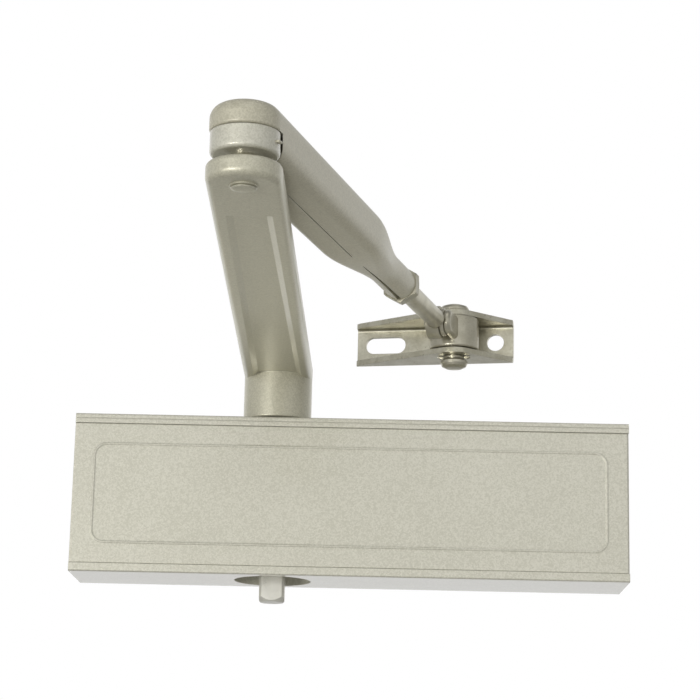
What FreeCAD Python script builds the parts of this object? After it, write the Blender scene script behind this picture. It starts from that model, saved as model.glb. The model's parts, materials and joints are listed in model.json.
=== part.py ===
import FreeCAD, Part
import math
import os

# Overhead rack-and-pinion door closer with a folding arm. Sizes in millimetres.
# X runs to the right seen from the front, Y runs back into the door, Z is up.
# The origin is the middle of the fixing holes, on the face that meets the door.

# ---------------------------------------------------------------- housing
BODY_LENGTH = 230.0
BODY_HEIGHT = 66.0
BODY_DEPTH = 40.0
BODY_EDGE = 0.8
COVER_DEPTH = 2.0          # step behind the front face that takes the cover
TOP_LIP = 4.0
BOTTOM_LIP = 3.5
GROOVE_DEPTH = 0.9         # groove behind each lip for the edge of the cover
GROOVE_WIDTH = 1.1
LIP_LINE = 0.3             # fine line along the top lip

BORE_RADIUS = 15.0
BORE_Y = -BODY_DEPTH / 2
PLUG_RADIUS = 16.0
PLUG_LENGTH = 14.2
PLUG_INSET = 0.8

FIX_X = 200.0
FIX_Z = 48.0
FIX_RADIUS = 2.8
FIX_HEAD_RADIUS = 4.8
FIX_HEAD_DEPTH = 3.0

# ---------------------------------------------------------------- spindle and rack
SPINDLE_X = -BODY_LENGTH / 2 + 83.0
SPINDLE_Y = BORE_Y
SHAFT_RADIUS = 7.0
RECESS_RADIUS = 16.0
RECESS_DEPTH = 6.0
GLAND_RADIUS = 12.5
GLAND_LENGTH = 5.5
BEARING_RADIUS = 11.0
BEARING_LENGTH = 5.5
SEAL_RADIUS = 9.0
SEAL_LENGTH = 2.6
SQUARE = 10.5              # across the flats of the spindle ends
SQUARE_TURNED = 6.7        # radius that the square's corners are turned to
SQUARE_BELOW = 9.0         # how far the lower square stands out of the housing

TOOTH_COUNT = 12
MODULE = 1.5
PRESSURE_ANGLE = math.radians(20)
PITCH_RADIUS = MODULE * TOOTH_COUNT / 2
PINION_TIP = PITCH_RADIUS + 1.2
PINION_ROOT = PITCH_RADIUS - 1.5
PINION_WIDTH = 16.0
RACK_ADDENDUM = 1.0
RACK_TIP_GAP = 0.3
FLANK_GAP = 0.12           # taken off each tooth's thickness
PISTON_TRAVEL = PITCH_RADIUS * math.radians(175)

# ---------------------------------------------------------------- main arm and elbow
ARM_LENGTH = 270.0
ARM_THICK = 6.7
ARM_BOSS_RADIUS = 14.5
ARM_END_RADIUS = 11.9
BOSS_GAP = 1.5             # above the housing
BOSS_HEIGHT = 18.0
ARM_UNDER = BODY_HEIGHT / 2 + BOSS_GAP + BOSS_HEIGHT
ARM_TOP = ARM_UNDER + ARM_THICK
CHANNEL_DEPTH = 1.3
CHANNEL_SLOPE = 2.1        # width of each sloping side of the channel
CHANNEL_NEAR = 10.2        # half width of the channel at the boss
CHANNEL_FAR = 7.5          # half width of the channel at the elbow
ELBOW_PIN_RADIUS = 3.5
ELBOW_HEAD_RADIUS = 4.5
ELBOW_GAP = 2.5
RING_RADIUS = 10.9
RING_HEIGHT = 7.3
RING_BOTTOM = ARM_TOP + ELBOW_GAP
RING_TOP = RING_BOTTOM + RING_HEIGHT
CAP_BOTTOM = RING_TOP + 0.3

# ---------------------------------------------------------------- forearm
FOREARM_ANGLE = 16.1       # from straight back, towards the right
FOREARM_LENGTH = 260.5     # elbow pivot to bracket pivot, along the rod
PIVOT_SIDE = 1.9           # bracket pivot to the right of the rod's line
SHELL_WIDTH = 22.4
SHELL_HEIGHT = 15.2
SHELL_CORNER = 4.4
SHELL_WALL = 1.8
SHELL_TOP = CAP_BOTTOM + 8.6
FOREARM_Z = SHELL_TOP - SHELL_HEIGHT / 2
CAP_RADIUS = SHELL_WIDTH / 2
CAP_RIM = 0.9              # rounding of the cap's lower rim
ROD_RADIUS = 4.0
NECK_RADIUS = ROD_RADIUS + 2.2
TAPER_START = 112.0
TAPER_END = 160.0
SHELL_END = 180.0
SEAM = 0.4
MOUTH = 1.8                # width of the seam where it opens at the neck
NUT_FLATS = 13.0
NUT_THICK = 5.0
EYE_RADIUS = 6.8
EYE_THICK = ROD_RADIUS + 1.5
EYE_SHIFT = 1.7            # eye to the left of the rod's line
EYE_OFFSET = 18.8          # cross pin ahead of the bracket pivot
EYE_WASHER_RADIUS = 5.7
EYE_WASHER = 1.8           # thickness of the washer at the right of the eye

# ---------------------------------------------------------------- knuckle and bracket
KNUCKLE_RADIUS = 10.2
KNUCKLE_HEIGHT = 13.4
KNUCKLE_GAP = 0.3
CROSS_PIN_RADIUS = 2.4
CROSS_HEAD_RADIUS = 3.6
LUG_RADIUS = 5.0
LUG_THICK = 2.8
KNUCKLE_DROP = 0.9         # middle of the barrel below the rod's line
PIVOT_RADIUS = 3.45
SHEET = 2.2
BRACKET_ANGLE = 11.0       # right end towards the front
BRACKET_LEFT = 44.2
BRACKET_RIGHT = 23.0
BRACKET_BACK = 17.0        # pivot to the face that meets the frame
BRACKET_END_DEPTH = 5.5
BRACKET_NOSE = 8.8
BRACKET_HEIGHT = KNUCKLE_HEIGHT + 2 * (KNUCKLE_GAP + SHEET)
SLOT_X = -32.0
SLOT_LENGTH = 17.3
SLOT_WIDTH = 7.2
HOLE_X = 15.4
HOLE_RADIUS = 3.6

# ---------------------------------------------------------------- clearances
RUN = 0.04                 # radial, turning or sliding fits
LOOSE = 0.3                # between pieces that only pass each other
EPS = 1.0

V = FreeCAD.Vector
UP = V(0, 0, 1)
X_AXIS = V(1, 0, 0)
Y_AXIS = V(0, 1, 0)
ELBOW = V(SPINDLE_X, SPINDLE_Y - ARM_LENGTH, 0)
ALONG = V(math.sin(math.radians(FOREARM_ANGLE)), math.cos(math.radians(FOREARM_ANGLE)), 0)
ACROSS = V(ALONG.y, -ALONG.x, 0)
PIVOT = ELBOW + ALONG * FOREARM_LENGTH + ACROSS * PIVOT_SIDE + V(0, 0, FOREARM_Z - KNUCKLE_DROP)


# ---------------------------------------------------------------- helpers
def disc(radius, low, high, x=0.0, y=0.0):
    """Upright cylinder between two heights."""
    return Part.makeCylinder(radius, high - low, V(x, y, low), UP)


def bar_x(radius, left, right, y=0.0, z=0.0):
    """Cylinder along X."""
    return Part.makeCylinder(radius, right - left, V(left, y, z), X_AXIS)


def bar_y(radius, front, back, x=0.0, z=0.0):
    """Cylinder along Y."""
    return Part.makeCylinder(radius, back - front, V(x, front, z), Y_AXIS)


def block(x0, x1, y0, y1, z0, z1):
    """Box between two corners."""
    return Part.makeBox(x1 - x0, y1 - y0, z1 - z0, V(x0, y0, z0))


def face_from(points):
    """Flat face bounded by straight lines."""
    return Part.Face(Part.makePolygon(points + [points[0]]))


def spun(points, origin=V(0, 0, 0), axis=UP):
    """Solid of revolution of a closed outline."""
    return face_from(points).revolve(origin, axis, 360)


def hex_prism(flats, length, base, direction):
    """Six-sided bar; flats is the distance across them."""
    radius = flats / math.sqrt(3)
    points = []
    for step in range(6):
        angle = math.radians(60 * step + 30)
        points.append(V(radius * math.cos(angle), radius * math.sin(angle), 0))
    solid = face_from(points).extrude(V(0, 0, length))
    turn = FreeCAD.Rotation(UP, direction)
    solid.Placement = FreeCAD.Placement(base, turn)
    return solid


def along_forearm(solid):
    """Place a solid drawn along +Y from the elbow onto the forearm's line."""
    turn = FreeCAD.Rotation(UP, -FOREARM_ANGLE)
    solid.Placement = FreeCAD.Placement(ELBOW, turn).multiply(solid.Placement)
    return solid


def at_bracket(solid):
    """Place a solid drawn round the bracket's pivot."""
    turn = FreeCAD.Rotation(UP, -BRACKET_ANGLE)
    solid.Placement = FreeCAD.Placement(PIVOT, turn).multiply(solid.Placement)
    return solid


def edges_at_height(solid, height, tolerance=0.01):
    """Edges that lie wholly in one level plane."""
    found = []
    for edge in solid.Edges:
        box = edge.BoundBox
        if abs(box.ZMin - height) < tolerance and abs(box.ZMax - height) < tolerance:
            found.append(edge)
    return found


def save(name, shape):
    """Write one node as STEP."""
    shape.exportStep("parts/" + name + ".step")


# ---------------------------------------------------------------- housing
VALVES = {"closing_valve": -90.0, "latching_valve": -76.0, "backcheck_valve": 40.0}
VALVE_Z = 19.0
VALVE_FRONT = -BODY_DEPTH + COVER_DEPTH
GALLERY_Y = -33.5
GALLERY_RADIUS = 1.2
VALVE_RADIUS = 3.0
VALVE_LENGTH = 3.2
PORT_Y = -28.0
PORT_RADIUS = 0.9
PORT_RUN_OUT = 0.8         # how far each valve's drilling runs past its port


def housing():
    half_x = BODY_LENGTH / 2
    half_z = BODY_HEIGHT / 2
    solid = block(-half_x, half_x, -BODY_DEPTH, 0, -half_z, half_z)
    long_edges = [edge for edge in solid.Edges if edge.BoundBox.XLength > BODY_LENGTH - 1]
    solid = solid.makeFillet(BODY_EDGE, long_edges)
    over = half_x + EPS
    step_back = -BODY_DEPTH + COVER_DEPTH
    cuts = [
        block(-over, over, -BODY_DEPTH - EPS, step_back, -half_z + BOTTOM_LIP, half_z - TOP_LIP),
        block(-over, over, step_back - GROOVE_WIDTH, step_back,
              half_z - TOP_LIP - EPS, half_z - TOP_LIP + GROOVE_DEPTH),
        block(-over, over, step_back - GROOVE_WIDTH, step_back,
              -half_z + BOTTOM_LIP - GROOVE_DEPTH, -half_z + BOTTOM_LIP + EPS),
        block(-over, over, -BODY_DEPTH - EPS, -BODY_DEPTH + LIP_LINE,
              half_z - TOP_LIP / 2 - LIP_LINE / 2, half_z - TOP_LIP / 2 + LIP_LINE / 2),
        bar_x(BORE_RADIUS, -over, over, BORE_Y),
        bar_x(PLUG_RADIUS, -over, -half_x + PLUG_INSET + PLUG_LENGTH, BORE_Y),
        bar_x(PLUG_RADIUS, half_x - PLUG_INSET - PLUG_LENGTH, over, BORE_Y),
        bar_x(GALLERY_RADIUS, -over, VALVES["backcheck_valve"] + 4, GALLERY_Y, VALVE_Z),
    ]
    cuts += spindle_pockets()
    for sign_x in (-1, 1):
        for sign_z in (-1, 1):
            x = sign_x * FIX_X / 2
            z = sign_z * FIX_Z / 2
            cuts.append(bar_y(FIX_RADIUS, -BODY_DEPTH, EPS, x, z))
            cuts.append(bar_y(FIX_HEAD_RADIUS, -BODY_DEPTH, step_back + FIX_HEAD_DEPTH, x, z))
    for x in VALVES.values():
        seat = VALVE_FRONT + VALVE_LENGTH + RUN
        drilled = PORT_Y + PORT_RADIUS + PORT_RUN_OUT
        cuts.append(bar_y(VALVE_RADIUS + RUN, VALVE_FRONT - EPS, seat, x, VALVE_Z))
        cuts.append(bar_y(GALLERY_RADIUS, VALVE_FRONT, drilled, x, VALVE_Z))
        cuts.append(disc(PORT_RADIUS, BORE_RADIUS / 2, VALVE_Z, x, PORT_Y))
    return solid.cut(cuts)


def spindle_pockets():
    """Round pockets above and below the bore for bearing, gland and spindle."""
    cuts = [disc(SHAFT_RADIUS + 0.5, -BODY_HEIGHT / 2, BODY_HEIGHT / 2, SPINDLE_X, SPINDLE_Y)]
    mouth = BODY_HEIGHT / 2
    recess = mouth - RECESS_DEPTH
    gland = recess - GLAND_LENGTH
    bearing = gland - BEARING_LENGTH
    steps = (
        (RECESS_RADIUS, recess, mouth + EPS),
        (GLAND_RADIUS + RUN, gland, recess + EPS),
        (BEARING_RADIUS + RUN, bearing, gland + EPS),
    )
    for radius, low, high in steps:
        cuts.append(disc(radius, low, high, SPINDLE_X, SPINDLE_Y))
        cuts.append(disc(radius, -high, -low, SPINDLE_X, SPINDLE_Y))
    return cuts


def flipped(solid):
    """The same piece below the bore instead of above it."""
    return solid.mirror(V(0, 0, 0), UP)


def spindle_bearing():
    gland = BODY_HEIGHT / 2 - RECESS_DEPTH - GLAND_LENGTH
    bearing = gland - BEARING_LENGTH
    ring = disc(BEARING_RADIUS, bearing, gland, SPINDLE_X, SPINDLE_Y)
    return ring.cut(disc(SHAFT_RADIUS + RUN, bearing - 1, gland + 1, SPINDLE_X, SPINDLE_Y))


def spindle_gland():
    recess = BODY_HEIGHT / 2 - RECESS_DEPTH
    gland = recess - GLAND_LENGTH
    ring = disc(GLAND_RADIUS, gland, recess, SPINDLE_X, SPINDLE_Y)
    cuts = [
        disc(SHAFT_RADIUS + LOOSE, gland - 1, recess + 1, SPINDLE_X, SPINDLE_Y),
        disc(SEAL_RADIUS + RUN, gland - 1, gland + SEAL_LENGTH + RUN, SPINDLE_X, SPINDLE_Y),
    ]
    for side in (-1, 1):
        cuts.append(disc(1.2, recess - 2, recess + 1, SPINDLE_X + side * 10.2, SPINDLE_Y))
    return ring.cut(cuts)


def spindle_seal():
    gland = BODY_HEIGHT / 2 - RECESS_DEPTH - GLAND_LENGTH
    ring = disc(SEAL_RADIUS, gland + RUN, gland + SEAL_LENGTH, SPINDLE_X, SPINDLE_Y)
    return ring.cut(disc(SHAFT_RADIUS + RUN, gland - 1, gland + SEAL_LENGTH + 1, SPINDLE_X, SPINDLE_Y))


PLUG_GROOVE = 5.0          # from the plug's inner face to its seal
PLUG_GROOVE_WIDTH = 2.4
PLUG_GROOVE_DEPTH = 1.8


def end_plug_right():
    """Plug with a stepped hole for the power screw and its collar."""
    outer = BODY_LENGTH / 2 - PLUG_INSET
    inner = outer - PLUG_LENGTH
    plug = bar_x(PLUG_RADIUS - RUN, inner, outer, BORE_Y)
    cuts = [
        plug_groove(inner),
        bar_x(SCREW_RADIUS + RUN, inner - 1, outer + 1, BORE_Y),
        bar_x(COLLAR_RADIUS + RUN, inner - 1, inner + COLLAR_LENGTH + RUN, BORE_Y),
    ]
    for side in (-1, 1):
        cuts.append(bar_x(1.5, outer - 3, outer + 1, BORE_Y, side * 11))
    return plug.cut(cuts)


def end_plug_left():
    outer = -BODY_LENGTH / 2 + PLUG_INSET
    inner = outer + PLUG_LENGTH
    plug = bar_x(PLUG_RADIUS - RUN, outer, inner, BORE_Y)
    cuts = [plug_groove(inner - 2 * PLUG_GROOVE)]
    for side in (-1, 1):
        cuts.append(bar_x(1.5, outer - 1, outer + 3, BORE_Y, side * 11))
    return plug.cut(cuts)


def plug_groove(start):
    left = start + PLUG_GROOVE
    right = left + PLUG_GROOVE_WIDTH
    ring = bar_x(PLUG_RADIUS + 1, left, right, BORE_Y)
    return ring.cut(bar_x(PLUG_RADIUS - PLUG_GROOVE_DEPTH, left - 1, right + 1, BORE_Y))


def plug_seal(start):
    """Rubber ring with a rounded outside, sitting in a plug's groove."""
    left = start + PLUG_GROOVE + RUN
    right = left + PLUG_GROOVE_WIDTH - 2 * RUN
    ring = bar_x(PLUG_RADIUS - RUN, left, right, BORE_Y)
    ring = ring.makeFillet(0.6, [edge for edge in ring.Edges if edge.BoundBox.XLength < 0.01])
    return ring.cut(bar_x(PLUG_RADIUS - PLUG_GROOVE_DEPTH + RUN, left - 1, right + 1, BORE_Y))


def valve_screw(x):
    front = VALVE_FRONT + RUN
    screw = bar_y(VALVE_RADIUS, front, front + VALVE_LENGTH - RUN, x, VALVE_Z)
    needle = bar_y(GALLERY_RADIUS - RUN, front + 1, GALLERY_Y + GALLERY_RADIUS, x, VALVE_Z)
    socket = hex_prism(2.5, 2.0, V(x, front - 0.2, VALVE_Z), Y_AXIS)
    return screw.fuse(needle).removeSplitter().cut(socket)


def gallery_ball():
    return Part.makeSphere(GALLERY_RADIUS - RUN, V(-BODY_LENGTH / 2 + 4, GALLERY_Y, VALVE_Z))


COVER_SINK = 0.4           # how far the cover lies behind the front of the lips
COVER_EDGE = 0.12          # gap between the cover and each lip
COVER_ROUND = 0.25         # rounding of the cover's front edges
COVER_TONGUE = 0.9
COVER_SHORT = 0.6          # how far the cover stops short at the right end
PANEL_INSET = 8.6
PANEL_CORNER = 5.0
BEAD_WIDTH = 1.3           # pressed bead that frames the middle of the cover
BEAD_HEIGHT = 0.32


def front_cover():
    """Pressed plate that slides along behind the lips, framed by a raised bead."""
    half_z = BODY_HEIGHT / 2
    left = -BODY_LENGTH / 2
    right = BODY_LENGTH / 2 - COVER_SHORT
    front = -BODY_DEPTH + COVER_SINK
    back = -BODY_DEPTH + COVER_DEPTH - 0.1
    low = -half_z + BOTTOM_LIP + COVER_EDGE
    high = half_z - TOP_LIP - COVER_EDGE
    plate = block(left, right, front, back, low, high)
    rim = [edge for edge in plate.Edges if edge.BoundBox.YMax < front + 0.01]
    plate = plate.makeFillet(COVER_ROUND, rim)
    reach = COVER_EDGE + GROOVE_DEPTH - 0.2
    tongue = block(left, right, back - COVER_TONGUE, back, low - reach, high + reach)
    bead = panel_bead(front, left, right, low, high)
    return plate.fuse([tongue, bead]).removeSplitter()


def panel_bead(front, left, right, low, high):
    """Low ridge that follows a rectangle with round corners."""
    def frame(shift, y):
        inset = PANEL_INSET - shift
        wire = rounded_wire(left + inset, right - inset, low + inset, high - inset, PANEL_CORNER + shift)
        wire.translate(V(0, y, 0))
        return wire
    foot = BEAD_WIDTH / 2
    crest = BEAD_WIDTH / 8
    sections = []
    for side in (1, -1):
        base = [frame(side * foot, front + 0.2), frame(side * foot, front)]
        sections.append(base + [frame(side * crest, front - BEAD_HEIGHT)])
    outer = Part.makeLoft(sections[0], True, True)
    inner = Part.makeLoft(sections[1], True, True)
    return outer.cut(inner)


def rounded_wire(x0, x1, z0, z1, radius):
    """Rectangle in the XZ plane with round corners."""
    diag = radius * (1 - math.sqrt(0.5))
    corner = (
        (V(x1 - radius, 0, z0), V(x1 - diag, 0, z0 + diag), V(x1, 0, z0 + radius)),
        (V(x1, 0, z1 - radius), V(x1 - diag, 0, z1 - diag), V(x1 - radius, 0, z1)),
        (V(x0 + radius, 0, z1), V(x0 + diag, 0, z1 - diag), V(x0, 0, z1 - radius)),
        (V(x0, 0, z0 + radius), V(x0 + diag, 0, z0 + diag), V(x0 + radius, 0, z0)),
    )
    edges = []
    for index in range(4):
        start, middle, end = corner[index]
        edges.append(Part.Arc(start, middle, end).toShape())
        following = corner[(index + 1) % 4][0]
        edges.append(Part.makeLine(end, following))
    return Part.Wire(edges)


# ---------------------------------------------------------------- spring and power adjustment
PISTON_LEFT = -98.0
PISTON_RIGHT = -4.0
SEAT_X = 88.0
SEAT_THICK = 4.0
SEAT_NOSE = 9.4
SCREW_RADIUS = 4.9
COLLAR_RADIUS = 7.5
COLLAR_LENGTH = 3.0
SPRING_WIRE = 2.1
SPRING_RADIUS = 12.1
SPRING_TURNS = 9.0


def spring_seat():
    seat = bar_x(BORE_RADIUS - 0.1, SEAT_X, SEAT_X + SEAT_THICK, BORE_Y)
    seat = seat.fuse(bar_x(SEAT_NOSE, SEAT_X - SEAT_THICK, SEAT_X, BORE_Y)).removeSplitter()
    return seat.cut(bar_x(SCREW_RADIUS + RUN, SEAT_X - 10, SEAT_X + 10, BORE_Y))


def power_screw():
    outer = BODY_LENGTH / 2 - PLUG_INSET
    inner = outer - PLUG_LENGTH
    screw = bar_x(SCREW_RADIUS, SEAT_X - SEAT_THICK - 2, outer - 1, BORE_Y)
    screw = screw.fuse(bar_x(COLLAR_RADIUS, inner, inner + COLLAR_LENGTH, BORE_Y)).removeSplitter()
    return screw.cut(hex_prism(5.0, 6.0, V(outer - 6, BORE_Y, 0), X_AXIS))


def closer_spring():
    """Round-wire compression spring between the piston and its seat."""
    start = PISTON_RIGHT + SPRING_WIRE + 0.1
    length = SEAT_X - SPRING_WIRE - 0.1 - start
    helix = Part.makeHelix(length / SPRING_TURNS, length, SPRING_RADIUS)
    section = Part.Wire(Part.makeCircle(SPRING_WIRE, V(SPRING_RADIUS, 0, 0), Y_AXIS))
    coil = Part.Wire(helix).makePipeShell([section], True, True)
    coil.Placement = FreeCAD.Placement(V(start, BORE_Y, 0), FreeCAD.Rotation(UP, X_AXIS))
    return coil


# ---------------------------------------------------------------- rack piston
RACK_PITCH = math.pi * MODULE
RACK_ROOT = PINION_TIP + RACK_TIP_GAP
SLOT_FRONT = PINION_TIP + 0.6
HEAD_GAP = PINION_TIP + 1.3
RING_WIDTH = 2.6


def rack_piston():
    """Piston with a window for the pinion and rack teeth along its back."""
    piston = bar_x(BORE_RADIUS - RUN, PISTON_LEFT, PISTON_RIGHT, BORE_Y)
    left = SPINDLE_X - PISTON_TRAVEL - HEAD_GAP
    right = SPINDLE_X + HEAD_GAP
    window = block(left, right, BORE_Y - SLOT_FRONT, BORE_Y + RACK_ROOT, -BORE_RADIUS, BORE_RADIUS)
    piston = piston.cut([
        window,
        ring_groove(PISTON_LEFT + 4),
        ring_groove(PISTON_RIGHT - 4 - RING_WIDTH),
        bar_x(4.0 + RUN, PISTON_LEFT - 1, PISTON_LEFT + 12, BORE_Y),
        bar_x(1.5, PISTON_LEFT, left + 1, BORE_Y),
    ])
    teeth = rack_teeth().common(bar_x(BORE_RADIUS - RUN, left, right, BORE_Y))
    return piston.fuse(teeth).removeSplitter()


def rack_teeth():
    tan = math.tan(PRESSURE_ANGLE)
    half = (RACK_PITCH / 2 - FLANK_GAP) / 2
    tip = PITCH_RADIUS - RACK_ADDENDUM
    tip_half = half - RACK_ADDENDUM * tan
    root_half = half + (RACK_ROOT - PITCH_RADIUS) * tan
    count_left = int(PISTON_TRAVEL / RACK_PITCH) + 2
    teeth = []
    for index in range(-count_left, 2):
        x = SPINDLE_X + index * RACK_PITCH
        points = [
            V(x - root_half, BORE_Y + RACK_ROOT + 1, -BORE_RADIUS),
            V(x - root_half, BORE_Y + RACK_ROOT, -BORE_RADIUS),
            V(x - tip_half, BORE_Y + tip, -BORE_RADIUS),
            V(x + tip_half, BORE_Y + tip, -BORE_RADIUS),
            V(x + root_half, BORE_Y + RACK_ROOT, -BORE_RADIUS),
            V(x + root_half, BORE_Y + RACK_ROOT + 1, -BORE_RADIUS),
        ]
        teeth.append(face_from(points).extrude(V(0, 0, 2 * BORE_RADIUS)))
    return teeth[0].fuse(teeth[1:])


def ring_groove(left):
    ring = bar_x(BORE_RADIUS + 1, left, left + RING_WIDTH, BORE_Y)
    return ring.cut(bar_x(BORE_RADIUS - 2.2, left - 1, left + RING_WIDTH + 1, BORE_Y))


def piston_ring(left):
    ring = bar_x(BORE_RADIUS - RUN / 2, left + RUN, left + RING_WIDTH - RUN, BORE_Y)
    return ring.cut(bar_x(BORE_RADIUS - 2.2 + RUN, left - 1, left + RING_WIDTH + 1, BORE_Y))


def check_valve():
    """Screwed-in seat of the one-way valve in the piston's head."""
    body = bar_x(4.0, PISTON_LEFT + 0.2, PISTON_LEFT + 6, BORE_Y)
    return body.cut([
        hex_prism(4.0, 3.0, V(PISTON_LEFT - 0.5, BORE_Y, 0), X_AXIS),
        bar_x(1.2, PISTON_LEFT - 1, PISTON_LEFT + 7, BORE_Y),
    ])


def check_ball():
    return Part.makeSphere(2.6, V(PISTON_LEFT + 8.9, BORE_Y, 0))


# ---------------------------------------------------------------- spindle
def involute_point(base, radius, angle):
    """Point on an involute at a radius, turned by an angle."""
    pressure = math.acos(min(1.0, base / radius))
    swing = math.tan(pressure) - pressure
    return V(radius * math.cos(angle + swing), radius * math.sin(angle + swing), 0)


def pinion():
    """Twelve involute teeth, with a gap facing straight back."""
    base = PITCH_RADIUS * math.cos(PRESSURE_ANGLE)
    swing_at_pitch = math.tan(PRESSURE_ANGLE) - PRESSURE_ANGLE
    half = (math.pi * MODULE / 2 - FLANK_GAP) / (2 * PITCH_RADIUS) + swing_at_pitch
    middle = (base + PINION_TIP) / 2
    root = PINION_ROOT
    pieces = []
    for index in range(TOOTH_COUNT):
        centre = math.radians(90) + 2 * math.pi * (index + 0.5) / TOOTH_COUNT
        rising = [involute_point(base, radius, centre - half) for radius in (base, middle, PINION_TIP)]
        falling = []
        for point in rising:
            angle = 2 * centre - math.atan2(point.y, point.x)
            size = point.Length
            falling.append(V(size * math.cos(angle), size * math.sin(angle), 0))
        inner_a = V(rising[0]).normalize() * (root - 1)
        inner_b = V(falling[0]).normalize() * (root - 1)
        tip_middle = V(PINION_TIP * math.cos(centre), PINION_TIP * math.sin(centre), 0)
        edges = [
            Part.makeLine(inner_a, rising[0]),
            Part.Arc(rising[0], rising[1], rising[2]).toShape(),
            Part.Arc(rising[2], tip_middle, falling[2]).toShape(),
            Part.Arc(falling[2], falling[1], falling[0]).toShape(),
            Part.makeLine(falling[0], inner_b),
            Part.makeLine(inner_b, inner_a),
        ]
        tooth = Part.Face(Part.Wire(edges)).extrude(V(0, 0, PINION_WIDTH))
        tooth.translate(V(SPINDLE_X, SPINDLE_Y, -PINION_WIDTH / 2))
        pieces.append(tooth)
    core = disc(root, -PINION_WIDTH / 2, PINION_WIDTH / 2, SPINDLE_X, SPINDLE_Y)
    return core.fuse(pieces)


ARM_SCREW_RADIUS = 3.0
ARM_SCREW_DEPTH = 14.0
SPINDLE_TOP = ARM_TOP - 2.0


def square_end(low, high, chamfer_low, chamfer_high):
    """Square bar with turned corners and chamfered ends."""
    half = SQUARE / 2
    bar = block(SPINDLE_X - half, SPINDLE_X + half, SPINDLE_Y - half, SPINDLE_Y + half, low, high)
    turned = spun([
        V(0, 0, low),
        V(SQUARE_TURNED - chamfer_low, 0, low),
        V(SQUARE_TURNED, 0, low + chamfer_low),
        V(SQUARE_TURNED, 0, high - chamfer_high),
        V(SQUARE_TURNED - chamfer_high, 0, high),
        V(0, 0, high),
    ])
    turned.translate(V(SPINDLE_X, SPINDLE_Y, 0))
    return bar.common(turned)


def pinion_spindle():
    """Shaft with the pinion at its middle, never thicker there than the pinion's root."""
    shoulder = BODY_HEIGHT / 2 - RECESS_DEPTH + 0.6
    shaft = [
        disc(min(SHAFT_RADIUS, PINION_ROOT - 0.5), -BORE_RADIUS, BORE_RADIUS, SPINDLE_X, SPINDLE_Y),
        disc(SHAFT_RADIUS, BORE_RADIUS, shoulder, SPINDLE_X, SPINDLE_Y),
        disc(SHAFT_RADIUS, -shoulder, -BORE_RADIUS, SPINDLE_X, SPINDLE_Y),
    ]
    lower = square_end(-BODY_HEIGHT / 2 - SQUARE_BELOW, -shoulder + 1, 1.9, 0.01)
    upper = square_end(shoulder - 1, SPINDLE_TOP, 0.01, 1.0)
    solid = pinion().fuse(shaft + [lower, upper]).removeSplitter()
    hole = disc(ARM_SCREW_RADIUS + RUN, SPINDLE_TOP - ARM_SCREW_DEPTH, SPINDLE_TOP + 1, SPINDLE_X, SPINDLE_Y)
    return solid.cut(hole)


# ---------------------------------------------------------------- main arm
def arm_outline():
    """Plan of the arm: two round ends joined by straight tapering sides."""
    lean = math.asin((ARM_BOSS_RADIUS - ARM_END_RADIUS) / ARM_LENGTH)
    near = V(SPINDLE_X, SPINDLE_Y, 0)
    far = ELBOW

    def rim(centre, radius, angle):
        return centre + V(radius * math.cos(angle), radius * math.sin(angle), 0)
    right_near = rim(near, ARM_BOSS_RADIUS, -lean)
    left_near = rim(near, ARM_BOSS_RADIUS, math.pi + lean)
    right_far = rim(far, ARM_END_RADIUS, -lean)
    left_far = rim(far, ARM_END_RADIUS, math.pi + lean)
    edges = [
        Part.Arc(right_near, rim(near, ARM_BOSS_RADIUS, math.pi / 2), left_near).toShape(),
        Part.makeLine(left_near, left_far),
        Part.Arc(left_far, rim(far, ARM_END_RADIUS, -math.pi / 2), right_far).toShape(),
        Part.makeLine(right_far, right_near),
    ]
    return Part.Face(Part.Wire(edges))


def arm_channel():
    """Shallow sunk panel along the arm's underside, with sloping sides."""
    start = SPINDLE_Y - 6
    end = SPINDLE_Y - ARM_LENGTH + 31
    wires = []
    for inset, height in ((0.0, ARM_UNDER), (CHANNEL_SLOPE, ARM_UNDER + CHANNEL_DEPTH)):
        wide = CHANNEL_NEAR - inset
        slim = CHANNEL_FAR - inset
        wires.append(Part.makePolygon([
            V(SPINDLE_X - wide, start, height),
            V(SPINDLE_X + wide, start, height),
            V(SPINDLE_X + slim, end + 0.3 * inset, height),
            V(SPINDLE_X - slim, end + 0.3 * inset, height),
            V(SPINDLE_X - wide, start, height),
        ]))
    return Part.makeLoft(wires, True, True)


def main_arm():
    arm = arm_outline().extrude(V(0, 0, ARM_THICK))
    arm.translate(V(0, 0, ARM_UNDER))
    arm = arm.makeFillet(2.2, edges_at_height(arm, ARM_UNDER))
    arm = arm.makeFillet(1.6, edges_at_height(arm, ARM_TOP))
    arm = arm.cut(arm_channel())
    foot = ARM_UNDER - BOSS_HEIGHT
    boss = disc(ARM_BOSS_RADIUS - 0.1, foot, ARM_UNDER + 3, SPINDLE_X, SPINDLE_Y)
    boss = boss.makeFillet(0.8, edges_at_height(boss, foot))
    arm = arm.fuse(boss).removeSplitter()
    half = SQUARE / 2 + RUN
    return arm.cut([
        block(SPINDLE_X - half, SPINDLE_X + half, SPINDLE_Y - half, SPINDLE_Y + half, foot - 1, ARM_TOP + 1),
        disc(ELBOW_PIN_RADIUS + RUN, ARM_UNDER - 1, ARM_TOP + 1, ELBOW.x, ELBOW.y),
    ])


WASHER_RADIUS = 9.0
WASHER_THICK = 1.6
SCREW_HEAD_RADIUS = 5.0
SCREW_HEAD = 3.0


def arm_washer():
    ring = disc(WASHER_RADIUS, ARM_TOP, ARM_TOP + WASHER_THICK, SPINDLE_X, SPINDLE_Y)
    return ring.cut(disc(ARM_SCREW_RADIUS + 0.2, ARM_TOP - 1, ARM_TOP + 5, SPINDLE_X, SPINDLE_Y))


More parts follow.
